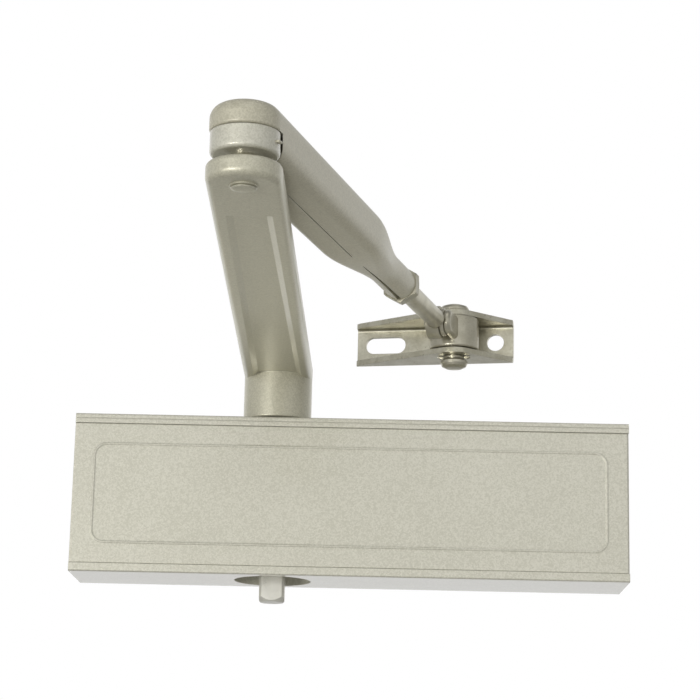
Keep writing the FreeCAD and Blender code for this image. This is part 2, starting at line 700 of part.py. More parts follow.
def arm_screw():
    seat = ARM_TOP + WASHER_THICK
    head = disc(SCREW_HEAD_RADIUS, seat, seat + SCREW_HEAD, SPINDLE_X, SPINDLE_Y)
    head = head.makeFillet(0.8, edges_at_height(head, seat + SCREW_HEAD))
    shank = disc(ARM_SCREW_RADIUS, SPINDLE_TOP - ARM_SCREW_DEPTH + 2, seat + 1, SPINDLE_X, SPINDLE_Y)
    socket = hex_prism(5.0, 3.0, V(SPINDLE_X, SPINDLE_Y, seat + 1), UP)
    return head.fuse(shank).removeSplitter().cut(socket)


# ---------------------------------------------------------------- elbow
def elbow_pin():
    """Rivet through the arm, the spacer and the forearm's eye."""
    outline = [
        V(0, 0, ARM_UNDER - 0.9),
        V(2.8, 0, ARM_UNDER - 0.8),
        V(ELBOW_HEAD_RADIUS, 0, ARM_UNDER - 0.3),
        V(ELBOW_HEAD_RADIUS, 0, ARM_UNDER),
        V(ELBOW_PIN_RADIUS, 0, ARM_UNDER),
        V(ELBOW_PIN_RADIUS, 0, RING_TOP),
        V(5.6, 0, RING_TOP),
        V(5.6, 0, RING_TOP + 1.4),
        V(4.2, 0, RING_TOP + 2.4),
        V(0, 0, RING_TOP + 2.4),
    ]
    pin = spun(outline)
    pin.translate(ELBOW)
    return pin


def elbow_spacer():
    """Hard washer with a raised middle, keeping the eye clear of the arm."""
    outline = [
        V(ELBOW_PIN_RADIUS + RUN, 0, ARM_TOP),
        V(7.2, 0, ARM_TOP),
        V(7.2, 0, ARM_TOP + 0.5),
        V(4.6, 0, ARM_TOP + 1.1),
        V(4.4, 0, RING_BOTTOM),
        V(ELBOW_PIN_RADIUS + RUN, 0, RING_BOTTOM),
    ]
    ring = spun(outline)
    ring.translate(ELBOW)
    return ring


STEM_LOW = RING_BOTTOM + 3.0
STEM_HIGH = RING_TOP - 0.4
STEM_END = 46.0
STEM_HALF = 7.0


def elbow_eye():
    """Round eye on the pin with a flat stem that runs into the shell."""
    ring = disc(RING_RADIUS, RING_BOTTOM, RING_TOP)
    ring = ring.makeFillet(1.3, edges_at_height(ring, RING_BOTTOM))
    stem = block(-STEM_HALF, STEM_HALF, 4, STEM_END, STEM_LOW, STEM_HIGH)
    eye = ring.fuse(stem).removeSplitter()
    eye = eye.cut(disc(ELBOW_PIN_RADIUS + RUN, RING_BOTTOM - 1, RING_TOP + 1))
    return along_forearm(eye)


# ---------------------------------------------------------------- forearm shell
def section(distance, width, height, corner):
    """Upright rounded rectangle across the forearm."""
    wire = rounded_wire(-width / 2, width / 2, FOREARM_Z - height / 2, FOREARM_Z + height / 2, corner)
    wire.translate(V(0, distance, 0))
    return wire


def shell_stations(shrink):
    """Sections from the elbow to the round neck, all reduced by a wall."""
    wide = SHELL_WIDTH - 2 * shrink
    high = SHELL_HEIGHT - 2 * shrink
    corner = SHELL_CORNER - 0.9 * shrink
    neck = 2 * (NECK_RADIUS - shrink)
    stations = []
    steps = 8
    for index in range(steps + 1):
        share = index / steps
        ease = share * share * (3 - 2 * share)
        width = wide + (neck - wide) * ease
        height = high + (neck - high) * ease
        round_off = corner + (neck / 2 - 0.05 - corner) * ease
        distance = TAPER_START + (TAPER_END - TAPER_START) * share
        stations.append((distance, width, height, round_off))
    return stations


def shell_solid(shrink, start, end):
    """Straight length, tapering length and neck joined into one."""
    stations = shell_stations(shrink)
    taper = Part.makeLoft([section(*station) for station in stations], True, False)
    first = stations[0]
    last = stations[-1]
    straight = Part.Face(section(start, *first[1:])).extrude(V(0, TAPER_START - start, 0))
    neck = Part.Face(section(TAPER_END, *last[1:])).extrude(V(0, end - TAPER_END, 0))
    return straight.fuse([taper, neck])


def cap_solid(radius, low, high, corner):
    """Round end of the shell over the eye."""
    cap = disc(radius, low, high)
    cap = cap.makeFillet(corner, edges_at_height(cap, high))
    return cap.makeFillet(CAP_RIM, edges_at_height(cap, low))


def forearm_shell():
    """Folded steel arm: a round cap at the elbow, a seam below, a round neck."""
    outer = shell_solid(0, 0, SHELL_END)
    cap = cap_solid(CAP_RADIUS, CAP_BOTTOM, SHELL_TOP, SHELL_CORNER)
    inner = shell_solid(SHELL_WALL, 0, TAPER_END - 4)
    inner_cap = cap_solid(CAP_RADIUS - SHELL_WALL, CAP_BOTTOM - 1, SHELL_TOP - SHELL_WALL, SHELL_CORNER - 1.6)
    under = FOREARM_Z - SHELL_HEIGHT / 2
    eye_room = disc(RING_RADIUS + 0.6, under - 1, CAP_BOTTOM)
    gap_from = TAPER_START + 18
    gap_end = SHELL_END + 1
    wedge = face_from([
        V(-SEAM / 2, gap_from, under - 1),
        V(SEAM / 2, gap_from, under - 1),
        V(MOUTH / 2, gap_end, under - 1),
        V(-MOUTH / 2, gap_end, under - 1),
    ]).extrude(V(0, 0, SHELL_HEIGHT / 2 + 1))
    shell = outer.fuse(cap).removeSplitter()
    return along_forearm(shell.cut([
        inner,
        inner_cap,
        eye_room,
        block(-CAP_RADIUS - 1, CAP_RADIUS + 1, -CAP_RADIUS - 1, 2, under - 1, CAP_BOTTOM),
        Part.makeCylinder(BUSH_RADIUS + RUN, 60, V(0, TAPER_END - 14, FOREARM_Z), Y_AXIS),
        block(-SEAM / 2, SEAM / 2, 0, gap_from - 14, under - 1, under + SHELL_WALL + 1),
        wedge,
    ]))


BUSH_RADIUS = ROD_RADIUS + 1.0
BUSH_LENGTH = 30.0


def rod_bush():
    """Threaded bush held in the neck; the rod screws through it."""
    start = SHELL_END - BUSH_LENGTH
    bush = Part.makeCylinder(BUSH_RADIUS, BUSH_LENGTH, V(0, start, FOREARM_Z), Y_AXIS)
    bore = Part.makeCylinder(ROD_RADIUS + RUN, BUSH_LENGTH + 2, V(0, start - 1, FOREARM_Z), Y_AXIS)
    return along_forearm(bush.cut(bore))


def lock_nut():
    start = SHELL_END + 0.1
    nut = hex_prism(NUT_FLATS, NUT_THICK, V(0, start, FOREARM_Z), Y_AXIS)
    round_off = NUT_FLATS / math.sqrt(3)
    flat = NUT_FLATS / 2
    cone = spun([
        V(0, start, 0),
        V(flat, start, 0),
        V(round_off, start + 0.8, 0),
        V(round_off, start + NUT_THICK - 0.8, 0),
        V(flat, start + NUT_THICK, 0),
        V(0, start + NUT_THICK, 0),
    ], V(0, 0, 0), Y_AXIS)
    cone.translate(V(0, 0, FOREARM_Z))
    bore = Part.makeCylinder(ROD_RADIUS + RUN, NUT_THICK + 4, V(0, start - 2, FOREARM_Z), Y_AXIS)
    return along_forearm(nut.common(cone).cut(bore))


ROD_INNER_END = 118.0


def adjusting_rod():
    """Round rod that ends in a flat round eye standing on edge."""
    centre = FOREARM_LENGTH - EYE_OFFSET
    left = -EYE_SHIFT - EYE_THICK / 2
    right = left + EYE_THICK
    rod = Part.makeCylinder(ROD_RADIUS, centre - ROD_INNER_END, V(0, ROD_INNER_END, FOREARM_Z), Y_AXIS)
    rod = rod.makeChamfer(0.8, [edge for edge in rod.Edges if edge.BoundBox.YMax < ROD_INNER_END + 0.01])
    eye = Part.makeCylinder(EYE_RADIUS, EYE_THICK, V(left, centre, FOREARM_Z), X_AXIS)
    eye = eye.makeFillet(0.5, [edge for edge in eye.Edges if edge.BoundBox.XLength < 0.01])
    flat_from = centre - EYE_WASHER_RADIUS - 1.4
    spare = block(right, 9, flat_from, centre + 9, FOREARM_Z - 9, FOREARM_Z + 9)
    rod = rod.cut(spare).fuse(eye).removeSplitter()
    rod = rod.cut(Part.makeCylinder(CROSS_PIN_RADIUS + RUN, 20, V(-10, centre, FOREARM_Z), X_AXIS))
    return along_forearm(rod)


# ---------------------------------------------------------------- knuckle
def on_pivot(solid):
    """Place a solid drawn round the pivot, with -Y along the rod."""
    turn = FreeCAD.Rotation(UP, -FOREARM_ANGLE)
    solid.Placement = FreeCAD.Placement(PIVOT, turn).multiply(solid.Placement)
    return solid


EYE_SIDE = -PIVOT_SIDE - EYE_SHIFT      # middle of the eye, from the pivot
WASHER_SIDE = EYE_SIDE + EYE_THICK / 2 + 0.1
LUG_SIDE = WASHER_SIDE + EYE_WASHER + 0.05


def swivel_knuckle():
    """Upright barrel with a round-ended lug that reaches forward to the cross pin."""
    half = KNUCKLE_HEIGHT / 2
    barrel = disc(KNUCKLE_RADIUS, -half, half)
    rims = edges_at_height(barrel, half) + edges_at_height(barrel, -half)
    barrel = barrel.makeFillet(0.7, rims)
    right = LUG_SIDE + LUG_THICK
    low = KNUCKLE_DROP - LUG_RADIUS
    end = bar_x(LUG_RADIUS, LUG_SIDE, right, -EYE_OFFSET, KNUCKLE_DROP)
    web = block(LUG_SIDE, right, -EYE_OFFSET, -SPIGOT_RADIUS - 1, low, low + 2 * LUG_RADIUS)
    lug = end.fuse(web).removeSplitter()
    flat = [edge for edge in lug.Edges if edge.BoundBox.XLength < 0.01]
    outside = [edge for edge in flat if edge.BoundBox.XMin > right - 0.01]
    lug = lug.makeFillet(1.8, [edge for edge in outside if edge.BoundBox.YMin < -SPIGOT_RADIUS - 2])
    tip = [edge for edge in lug.Edges if edge.BoundBox.XMax < LUG_SIDE + 0.01]
    lug = lug.makeFillet(0.6, [edge for edge in tip if edge.BoundBox.YMin < -EYE_OFFSET - 1])
    return on_pivot(barrel.fuse(lug).removeSplitter().cut([
        bar_x(CROSS_PIN_RADIUS + RUN, LUG_SIDE - 1, right + 1, -EYE_OFFSET, KNUCKLE_DROP),
        disc(SPIGOT_RADIUS + RUN, SPIGOT_INNER - 0.2, half + 1),
        disc(SPIGOT_RADIUS + RUN, -half - 1, -SPIGOT_INNER + 0.2),
    ]))


def eye_washer():
    """Thick round-edged washer between the rod's eye and the knuckle's lug."""
    ring = bar_x(EYE_WASHER_RADIUS, WASHER_SIDE, WASHER_SIDE + EYE_WASHER, -EYE_OFFSET, KNUCKLE_DROP)
    ring = ring.makeFillet(0.5, [edge for edge in ring.Edges if edge.BoundBox.XLength < 0.01])
    return on_pivot(ring.cut(bar_x(CROSS_PIN_RADIUS + RUN, -12, 12, -EYE_OFFSET, KNUCKLE_DROP)))


def cross_pin():
    """Rivet through the eye, the washer and the lug, with a rounded head on the left."""
    left = EYE_SIDE - EYE_THICK / 2 - 0.1
    right = LUG_SIDE + LUG_THICK
    head = CROSS_HEAD_RADIUS
    outline = [
        V(left - 1.3, 0, 0),
        V(left - 1.3, head / 2, 0),
        V(left - 0.8, head - 0.3, 0),
        V(left - 0.4, head, 0),
        V(left, head, 0),
        V(left, CROSS_PIN_RADIUS, 0),
        V(right, CROSS_PIN_RADIUS, 0),
        V(right, 0, 0),
    ]
    pin = spun(outline, V(0, 0, 0), X_AXIS)
    pin.translate(V(0, -EYE_OFFSET, KNUCKLE_DROP))
    return on_pivot(pin)


SPIGOT_RADIUS = 2.0
SPIGOT_INNER = KNUCKLE_HEIGHT / 2 - 1.5
CLIP_THICK = 0.9
EAR_RADIUS = 1.9
EAR_REACH = 6.7
SHANK_SHOW = 1.7


def pivot_pin(head_radius, head_start, head_height):
    """Pivot pin above: spigot in the knuckle, shank in the flange, rounded head."""
    outline = [
        V(0, 0, SPIGOT_INNER),
        V(SPIGOT_RADIUS, 0, SPIGOT_INNER),
        V(SPIGOT_RADIUS, 0, KNUCKLE_HEIGHT / 2),
        V(PIVOT_RADIUS, 0, KNUCKLE_HEIGHT / 2),
        V(PIVOT_RADIUS, 0, head_start),
        V(head_radius - 0.6, 0, head_start),
        V(head_radius, 0, head_start + 0.6),
        V(head_radius, 0, head_start + head_height * 0.45),
        V(head_radius * 0.9, 0, head_start + head_height * 0.75),
        V(head_radius * 0.62, 0, head_start + head_height * 0.95),
        V(0, 0, head_start + head_height),
    ]
    return spun(outline)


def upper_pivot_pin():
    return on_pivot(pivot_pin(6.1, BRACKET_HEIGHT / 2 + KNUCKLE_GAP, 3.3))


def lower_pivot_pin():
    stub = pivot_pin(5.6, BRACKET_HEIGHT / 2 + SHANK_SHOW, 3.6)
    return on_pivot(stub.mirror(V(0, 0, 0), UP))


def pivot_clip():
    """Spring clip under the bracket with a ball-shaped ear on each side."""
    top = -BRACKET_HEIGHT / 2 - 0.3
    ears = [Part.makeSphere(EAR_RADIUS, V(side * EAR_REACH, 0, top - EAR_RADIUS)) for side in (-1, 1)]
    bridge = block(-EAR_REACH, EAR_REACH, -1.1, 1.1, top - CLIP_THICK, top)
    hub = disc(4.5, top - CLIP_THICK, top)
    clip = hub.fuse(ears + [bridge]).removeSplitter()
    return at_bracket(clip.cut(disc(PIVOT_RADIUS + RUN, top - 3, top + 1)))


# ---------------------------------------------------------------- bracket
def bracket_profile():
    """Channel section: back plate and two flanges with bent corners."""
    half = BRACKET_HEIGHT / 2
    back = BRACKET_BACK
    front = -BRACKET_NOSE - 1
    outer = block(-BRACKET_LEFT, BRACKET_RIGHT, front, back, -half, half)
    corners = [edge for edge in outer.Edges
               if edge.BoundBox.XLength > 10 and edge.BoundBox.YMin > back - 0.01]
    outer = outer.makeFillet(SHEET + 1.0, corners)
    inner = block(-BRACKET_LEFT - 1, BRACKET_RIGHT + 1, front - 1, back - SHEET, -half + SHEET, half - SHEET)
    corners = [edge for edge in inner.Edges
               if edge.BoundBox.XLength > 10 and edge.BoundBox.YMin > back - SHEET - 0.01]
    inner = inner.makeFillet(1.0, corners)
    return outer.cut(inner)


def bracket_plan():
    """Plan of the bracket: shallow ends rising to a round nose at the pivot."""
    depth = BRACKET_BACK - BRACKET_END_DEPTH
    half = BRACKET_HEIGHT / 2 + 1
    left = tangent_to_nose(-BRACKET_LEFT + 1.5, depth, 1)
    right = tangent_to_nose(BRACKET_RIGHT - 1.5, depth, -1)
    edges = [
        Part.makeLine(V(-BRACKET_LEFT, BRACKET_BACK, 0), V(-BRACKET_LEFT, depth + 1.5, 0)),
        Part.makeLine(V(-BRACKET_LEFT, depth + 1.5, 0), V(-BRACKET_LEFT + 1.5, depth, 0)),
        Part.makeLine(V(-BRACKET_LEFT + 1.5, depth, 0), left),
        Part.Arc(left, V(0, -BRACKET_NOSE, 0), right).toShape(),
        Part.makeLine(right, V(BRACKET_RIGHT - 1.5, depth, 0)),
        Part.makeLine(V(BRACKET_RIGHT - 1.5, depth, 0), V(BRACKET_RIGHT, depth + 1.5, 0)),
        Part.makeLine(V(BRACKET_RIGHT, depth + 1.5, 0), V(BRACKET_RIGHT, BRACKET_BACK, 0)),
        Part.makeLine(V(BRACKET_RIGHT, BRACKET_BACK, 0), V(-BRACKET_LEFT, BRACKET_BACK, 0)),
    ]
    plan = Part.Face(Part.Wire(edges)).extrude(V(0, 0, 2 * half))
    plan.translate(V(0, 0, -half))
    return plan


def tangent_to_nose(x, y, side):
    """Where a line from a point touches the round nose about the pivot."""
    distance = math.hypot(x, y)
    reach = math.acos(BRACKET_NOSE / distance)
    angle = math.atan2(y, x) + side * reach
    return V(BRACKET_NOSE * math.cos(angle), BRACKET_NOSE * math.sin(angle), 0)


def fixing_bracket():
    """Folded steel bracket with a slot and a round hole for its screws."""
    bracket = bracket_profile().common(bracket_plan())
    half = BRACKET_HEIGHT / 2
    reach = SLOT_LENGTH / 2 - SLOT_WIDTH / 2
    slot = bar_y(SLOT_WIDTH / 2, 5, BRACKET_BACK + 1, SLOT_X - reach)
    slot = slot.fuse(bar_y(SLOT_WIDTH / 2, 5, BRACKET_BACK + 1, SLOT_X + reach))
    across = SLOT_WIDTH / 2
    slot = slot.fuse(block(SLOT_X - reach, SLOT_X + reach, 5, BRACKET_BACK + 1, -across, across))
    return at_bracket(bracket.cut([
        slot,
        bar_y(HOLE_RADIUS, 5, BRACKET_BACK + 1, HOLE_X),
        disc(PIVOT_RADIUS + RUN, -half - 1, half + 1),
    ]))


# ---------------------------------------------------------------- export
def main():
    os.makedirs("parts", exist_ok=True)
    outer_plug = BODY_LENGTH / 2 - PLUG_INSET - PLUG_LENGTH
    save("housing", housing())
    save("front_cover", front_cover())
    save("end_plug_left", end_plug_left())
    save("end_plug_right", end_plug_right())
    save("plug_seal_left", plug_seal(-outer_plug - 2 * PLUG_GROOVE))
    save("plug_seal_right", plug_seal(outer_plug))
    save("upper_bearing", spindle_bearing())
    save("lower_bearing", flipped(spindle_bearing()))
    save("upper_gland", spindle_gland())
    save("lower_gland", flipped(spindle_gland()))
    save("upper_seal", spindle_seal())
    save("lower_seal", flipped(spindle_seal()))
    save("gallery_ball", gallery_ball())
    for name, x in VALVES.items():
        save(name, valve_screw(x))
    save("spring_seat", spring_seat())
    save("power_screw", power_screw())
    save("closer_spring", closer_spring())
    save("rack_piston", rack_piston())
    save("piston_ring_left", piston_ring(PISTON_LEFT + 4))
    save("piston_ring_right", piston_ring(PISTON_RIGHT - 4 - RING_WIDTH))
    save("check_valve", check_valve())
    save("check_ball", check_ball())
    save("pinion_spindle", pinion_spindle())
    save("main_arm", main_arm())
    save("arm_washer", arm_washer())
    save("arm_screw", arm_screw())
    save("elbow_pin", elbow_pin())
    save("elbow_spacer", elbow_spacer())
    save("elbow_eye", elbow_eye())
    save("forearm_shell", forearm_shell())
    save("rod_bush", rod_bush())
    save("lock_nut", lock_nut())
    save("adjusting_rod", adjusting_rod())
    save("swivel_knuckle", swivel_knuckle())
    save("eye_washer", eye_washer())
    save("cross_pin", cross_pin())
    save("upper_pivot_pin", upper_pivot_pin())
    save("lower_pivot_pin", lower_pivot_pin())
    save("pivot_clip", pivot_clip())
    save("fixing_bracket", fixing_bracket())


main()
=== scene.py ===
import json
import logging
import math
from dataclasses import dataclass
from enum import Enum
from typing import Any, ClassVar, Union

import bpy
from mathutils import Matrix, Vector


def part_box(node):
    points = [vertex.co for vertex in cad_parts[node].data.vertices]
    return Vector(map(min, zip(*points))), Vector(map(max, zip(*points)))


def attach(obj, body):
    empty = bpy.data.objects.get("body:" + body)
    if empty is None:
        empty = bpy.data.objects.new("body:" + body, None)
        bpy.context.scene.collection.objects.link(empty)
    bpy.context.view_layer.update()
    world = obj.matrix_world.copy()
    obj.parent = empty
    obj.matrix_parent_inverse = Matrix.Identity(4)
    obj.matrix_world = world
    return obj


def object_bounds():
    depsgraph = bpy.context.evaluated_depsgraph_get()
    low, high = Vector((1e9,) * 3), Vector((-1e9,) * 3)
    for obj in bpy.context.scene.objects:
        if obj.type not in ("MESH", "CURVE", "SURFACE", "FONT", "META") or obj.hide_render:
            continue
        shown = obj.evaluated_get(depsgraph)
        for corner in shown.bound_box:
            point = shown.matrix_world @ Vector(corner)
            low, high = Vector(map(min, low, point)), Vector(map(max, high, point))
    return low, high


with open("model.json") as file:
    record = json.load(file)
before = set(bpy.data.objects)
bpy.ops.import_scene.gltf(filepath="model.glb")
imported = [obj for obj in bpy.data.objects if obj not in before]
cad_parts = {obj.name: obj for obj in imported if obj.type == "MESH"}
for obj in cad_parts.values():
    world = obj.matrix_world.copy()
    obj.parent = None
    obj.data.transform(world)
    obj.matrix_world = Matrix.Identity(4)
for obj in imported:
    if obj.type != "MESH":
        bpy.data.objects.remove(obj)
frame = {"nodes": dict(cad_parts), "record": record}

LOG = logging.getLogger("door_closer")
MM = 0.001
FACING = 0.9  # smallest cosine between a face's normal and the way that it is said to look
MERGE = 1e-6  # points closer than this, in metres, become one
SMOOTH_UP_TO = math.radians(40)
CAD_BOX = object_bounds()
# A point on the elbow pin's axis, where the lock nut's axis crosses it.
ELBOW_AXIS = tuple(next(joint for joint in frame["record"]["behaviour"]["joints"]
                        if joint["name"] == "lock_nut_turn")["pos_m"])

Number = Union[int, float]
Triple = tuple[float, float, float]
Colour = Triple
Way = Union[Vector, Triple]


def hue(red: Number, green: Number, blue: Number) -> Colour:
    """Turn an 8-bit screen colour into linear light.

    Args:
        red: Red, 0 to 255.
        green: Green, 0 to 255.
        blue: Blue, 0 to 255.

    Returns:
        The three linear values.
    """
    def linear(value: Number) -> float:
        """Undo the screen curve of one channel.

        Args:
            value: The channel, 0 to 255.

        Returns:
            Its linear value, 0 to 1.
        """
        share = value / 255
        return share / 12.92 if share <= 0.04045 else ((share + 0.055) / 1.055) ** 2.4
    return linear(red), linear(green), linear(blue)


# ---------------------------------------------------------------- shader writing
class Signal:
    """A shader socket that can be used in arithmetic."""

    def __init__(self, shader: "Shader", socket: bpy.types.NodeSocket | None) -> None:
        """Keep the socket, if there is one, with the shader that it belongs to."""
        self.shader = shader
        self.socket = socket

    def math(self, operation: str, other: Union["Signal", Number], first: bool = True) -> "Signal":
        """Add a Math node.

        Args:
            operation: The Math node's operation.
            other: The other value.
            first: Whether this signal goes in before the other.

        Returns:
            The node's result.
        """
        values = (self, other) if first else (other, self)
        return self.shader.node("ShaderNodeMath", {"operation": operation}, dict(enumerate(values)))

    def __add__(self, other: Union["Signal", Number]) -> "Signal":
        """Sum of the two."""
        return self.math("ADD", other)

    def __radd__(self, other: Number) -> "Signal":
        """Sum of the two."""
        return self.math("ADD", other)

    def __sub__(self, other: Union["Signal", Number]) -> "Signal":
        """This less the other."""
        return self.math("SUBTRACT", other)

    def __rsub__(self, other: Number) -> "Signal":
        """The other less this."""
        return self.math("SUBTRACT", other, first=False)

    def __mul__(self, other: Union["Signal", Number]) -> "Signal":
        """Product of the two."""
        return self.math("MULTIPLY", other)

    def __rmul__(self, other: Number) -> "Signal":
        """Product of the two."""
        return self.math("MULTIPLY", other)

    def between(self, low: Number, high: Number) -> "Signal":
        """Soft step that rises from 0 at low to 1 at high."""
        return self.shader.node(
            "ShaderNodeMapRange", {"interpolation_type": "SMOOTHSTEP"},
            {"Value": self, "From Min": low, "From Max": high},
        )


class Shader:
    """Node tree of one finish, written from the patterns up to the surface."""

    def __init__(self, owner: Union[bpy.types.Material, bpy.types.World]) -> None:
        """Start the empty node tree of a material or of the surroundings.

        Args:
            owner: What the tree belongs to.
        """
        self.owner = owner
        owner.use_nodes = True
        self.tree = owner.node_tree
        self.tree.nodes.clear()

    @classmethod
    def named(cls, name: str) -> "Shader":
        """Start an empty material of this name."""
        return cls(bpy.data.materials.new(name))

    def node(self, kind: str, settings: dict[str, Any] | None = None,
             inputs: dict[Union[str, int], Any] | None = None,
             output: Union[str, int] = 0) -> Signal:
        """Add one node.

        Args:
            kind: The node's type.
            settings: Its own settings.
            inputs: Values or signals for its sockets, by name or number.
            output: The socket that is returned, by name or number.

        Returns:
            The chosen output, which is empty on a node that has none.
        """
        node = self.tree.nodes.new(kind)
        for key, value in (settings or {}).items():
            setattr(node, key, value)
        for key, value in (inputs or {}).items():
            if isinstance(value, Signal):
                self.tree.links.new(value.socket, node.inputs[key])
            else:
                node.inputs[key].default_value = value
        return Signal(self, node.outputs[output] if node.outputs else None)

    def place(self) -> Signal:
        """Position on the piece, in metres."""
        return self.node("ShaderNodeTexCoord", output="Object")

    def stretched(self, scale: Triple, turn: float = 0.0) -> Signal:
        """Position stretched along the axes and turned about Z.

        Args:
            scale: Scale along each axis. A small one draws a pattern out that way.
            turn: Turn about Z in degrees.

        Returns:
            The new position.
        """
        return self.node("ShaderNodeMapping", {}, {
            "Vector": self.place(), "Rotation": (0.0, 0.0, math.radians(turn)), "Scale": scale,
        })

    def noise(self, size_mm: float, detail: float = 2.0, rough: float = 0.5,
              place: Signal | None = None) -> Signal:
        """Cloudy pattern.

        Args:
            size_mm: Size of its clouds in millimetres.
            detail: Finer layers on top of the first.
            rough: Weight of the finer layers.
            place: Where it is read, or the plain position.

        Returns:
            The pattern, near 0.5 on average.
        """
        return self.node("ShaderNodeTexNoise", {}, {
            "Vector": place or self.place(), "Scale": 1 / (size_mm * MM),
            "Detail": detail, "Roughness": rough,
        }, "Fac")

    def flakes(self, size_mm: float) -> Signal:
        """Small cells, each of its own value, like metal flakes in paint.

        Args:
            size_mm: Size of a cell in millimetres.

        Returns:
            The value, 0 to 1.
        """
        cell = self.node("ShaderNodeTexVoronoi", {}, {
            "Vector": self.place(), "Scale": 1 / (size_mm * MM),
        }, "Color")
        return self.node("ShaderNodeSeparateColor", {}, {"Color": cell}, 0)

    def blend(self, share: Union[Signal, Number], low: Any, high: Any) -> Signal:
        """Mix two colours.

        Args:
            share: How much of the second there is, 0 to 1.
            low: The first, as a colour or a signal.
            high: The second, as a colour or a signal.

        Returns:
            The mixed colour.
        """
        def four(value: Any) -> Any:
            """Give a plain colour its alpha, and leave a signal alone."""
            return value if isinstance(value, Signal) else (*value, 1.0)
        settings = {"data_type": "RGBA", "clamp_factor": True}
        return self.node("ShaderNodeMix", settings, {0: share, 6: four(low), 7: four(high)}, 2)

    def rounded(self, radius_mm: float) -> Signal:
        """Surface normal with the sharp edges rounded off."""
        return self.node("ShaderNodeBevel", {"samples": 8}, {"Radius": radius_mm * MM})

    def edges(self, rounded: Signal) -> Signal:
        """Find the sharp edges.

        Args:
            rounded: The rounded normal.

        Returns:
            1 on a sharp edge and 0 away from it.
        """
        plain = self.node("ShaderNodeNewGeometry", output="Normal")
        along = self.node("ShaderNodeVectorMath", {"operation": "DOT_PRODUCT"},
                          {0: rounded, 1: plain}, "Value")
        return (1.0 - along).between(0.01, 0.22)

    def bump(self, height: Signal, depth_mm: float, normal: Signal | None = None) -> Signal:
        """Relief in the surface.

        Args:
            height: Pattern from 0 to 1.
            depth_mm: What a height of 1 stands for, in millimetres.
            normal: Normal that it is added to, or the plain one.

        Returns:
            The new normal.
        """
        inputs = {"Height": height, "Distance": depth_mm * MM}
        if normal is not None:
            inputs["Normal"] = normal
        return self.node("ShaderNodeBump", {}, inputs)

    def surface(self, **inputs: Any) -> bpy.types.Material:
        """Close the tree with a Principled surface.

        Args:
            inputs: Its sockets by name, with _ for a space.

        Returns:
            The finished material.
        """
        named = {key.replace("_", " "): value for key, value in inputs.items()}
        shell = self.node("ShaderNodeBsdfPrincipled", {}, named)
        self.node("ShaderNodeOutputMaterial", {}, {"Surface": shell})
        return self.owner


# ---------------------------------------------------------------- finishes
@dataclass(frozen=True)
class FlakePaint:
    """Silver stove enamel: fine flakes under a thin clear film, with a painted highlight on the sharp
    edges.
    """

    name: str = "silver_flake_enamel"
    light: Colour = hue(214, 212, 198)
    dark: Colour = hue(196, 194, 178)
    # Painted highlight: the colour that the sharp edges are lightened towards.
    edge: Colour = hue(230, 229, 216)
    flake_mm: float = 0.55
    orange_peel_mm: float = 1.6
    peel_depth_mm: float = 0.010
    cast_mm: float = 0.0
    cast_depth_mm: float = 0.09
    edge_mm: float = 0.45
    metal: float = 0.35
    roughness: float = 0.42
    film: float = 0.45
    film_roughness: float = 0.20

    def build(self) -> bpy.types.Material:
        """Write the finish.

        Returns:
            Its material.
        """
        shader = Shader.named(self.name)
        flakes = shader.flakes(self.flake_mm)
        fine = shader.flakes(self.flake_mm * 0.45)
        clouds = shader.noise(38.0, 3.0)
        peel = shader.noise(self.orange_peel_mm, 2.0)
        rounded = shader.rounded(self.edge_mm)
        edges = shader.edges(rounded)
        grain = flakes * 0.45 + fine * 0.25 + clouds * 0.30
        base = shader.blend(grain.between(0.25, 0.75), self.dark, self.light)
        # Painted highlight: the sharp edges are mixed towards the light edge colour.
        base = shader.blend(edges * 0.65, base, self.edge)
        relief = peel + flakes * 0.12
        normal = shader.bump(relief, self.peel_depth_mm, rounded)
        if self.cast_mm:
            cast = shader.noise(self.cast_mm, 4.0, 0.6)
            normal = shader.bump(cast, self.cast_depth_mm, normal)
        rough = self.roughness + flakes * 0.10 + (clouds - 0.5) * 0.12 - edges * 0.08
        return shader.surface(
            Base_Color=base, Metallic=self.metal, Roughness=rough, Normal=normal,
            Coat_Weight=self.film, Coat_Roughness=self.film_roughness, Coat_IOR=1.5,
        )


